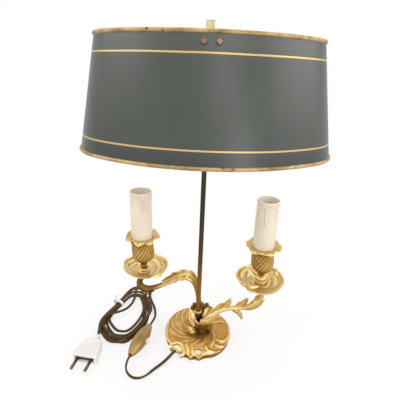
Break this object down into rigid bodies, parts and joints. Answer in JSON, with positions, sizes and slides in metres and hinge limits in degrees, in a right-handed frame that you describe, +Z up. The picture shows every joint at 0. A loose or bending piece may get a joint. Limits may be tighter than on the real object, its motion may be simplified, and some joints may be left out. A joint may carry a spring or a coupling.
{
  "type": "bouillotte table lamp",
  "caption": "Bouillotte table lamp: gilded cast base and scrolled arms with candle lights, oval painted metal shade on a rod, corded with an in-line switch and plug.",
  "frame": {"origin": "on the table, under the rod's axis", "axes": "+Z up along the rod, +X right along the shade's long axis, -Y to the front"},
  "size_m": [0.2971, 0.1945, 0.399],
  "materials": {
    "gilt_brass": "cast and gilded, satin, with browned recesses",
    "rod_brass": "dark patinated brass",
    "fitting_steel": "plain",
    "shade_paint": "dark green, hand painted, satin",
    "gilt_bead": "worn gilding",
    "copper_screw": "reddish brass, domed and slotted",
    "white_card": "ivory, with wax drips",
    "holder_plastic": "off white",
    "contact_brass": "plain",
    "switch_gold": "metallic gold",
    "white_plastic": "glossy white",
    "black_plastic": "moulded black",
    "pin_metal": "nickel plated",
    "silk_flex": "brown and gold braid",
    "wire_plastic": "insulated wire",
    "tie_white": "plain white strip",
    "pale_bush": "pale grey-green"
  },
  "bodies": {
    "lamp": {"base_rosette": "gilt_brass", "cable_grommet": "pale_bush", "calyx": "gilt_brass", "rod_post": "gilt_brass", "collar_ring": "gilt_brass", "post_nut": "fitting_steel", "arm_root_nuts": "fitting_steel", "left_arm": "gilt_brass", "right_arm": "gilt_brass", "terminal_block": "holder_plastic", "supply_lead": "silk_flex", "left_arm_wire": "wire_plastic", "right_arm_wire": "wire_plastic", "left_pan": "gilt_brass", "right_pan": "gilt_brass", "cup_nuts": "fitting_steel", "switch_upper_shell": "switch_gold", "switch_lower_shell": "switch_gold", "switch_screws": "fitting_steel", "plug_body": "white_plastic", "plug_insert": "black_plastic", "plug_pins": "pin_metal", "cord_coil": "silk_flex", "cable_tie": "tie_white", "cord_grommet_to_switch": "silk_flex", "cord_switch_to_coil": "silk_flex", "cord_coil_to_plug": "silk_flex", "left_cup": "gilt_brass", "left_nipple": "contact_brass", "left_lampholder": "holder_plastic", "left_screw_shell": "contact_brass", "left_centre_contact": "contact_brass", "left_candle_sleeve": "white_card", "right_cup": "gilt_brass", "right_nipple": "contact_brass", "right_lampholder": "holder_plastic", "right_screw_shell": "contact_brass", "right_centre_contact": "contact_brass", "right_candle_sleeve": "white_card"},
    "rod": {"rod": "rod_brass"},
    "shade": {"shade_body": "shade_paint", "shade_top_bead": "gilt_bead", "shade_bottom_bead": "gilt_bead", "shade_bridge": "gilt_bead", "bridge_screws": "copper_screw", "bridge_nuts": "contact_brass", "square_slide": "gilt_bead"},
    "thumb_screw": {"thumb_screw": "contact_brass"},
    "switch_bar": {"switch_bar": "white_plastic"}
  },
  "joints": [
    {"name": "shade_turn", "type": "hinge", "parent": "lamp", "child": "rod", "pos_m": [0, 0, 0.05], "axis": [0, 0, 1], "range_deg": [-35, 35]},
    {"name": "shade_slide", "type": "slide", "parent": "rod", "child": "shade", "axis": [0, 0, 1], "range_m": [-0.1, 0]},
    {"name": "thumb_screw_turn", "type": "hinge", "parent": "shade", "child": "thumb_screw", "pos_m": [0.008, 0, 0.353], "axis": [1, 0, 0], "range_deg": [0, 360]},
    {"name": "switch_push", "type": "slide", "parent": "lamp", "child": "switch_bar", "axis": [-0.9521, 0.3057, 0], "range_m": [0, 0.003]}
  ]
}
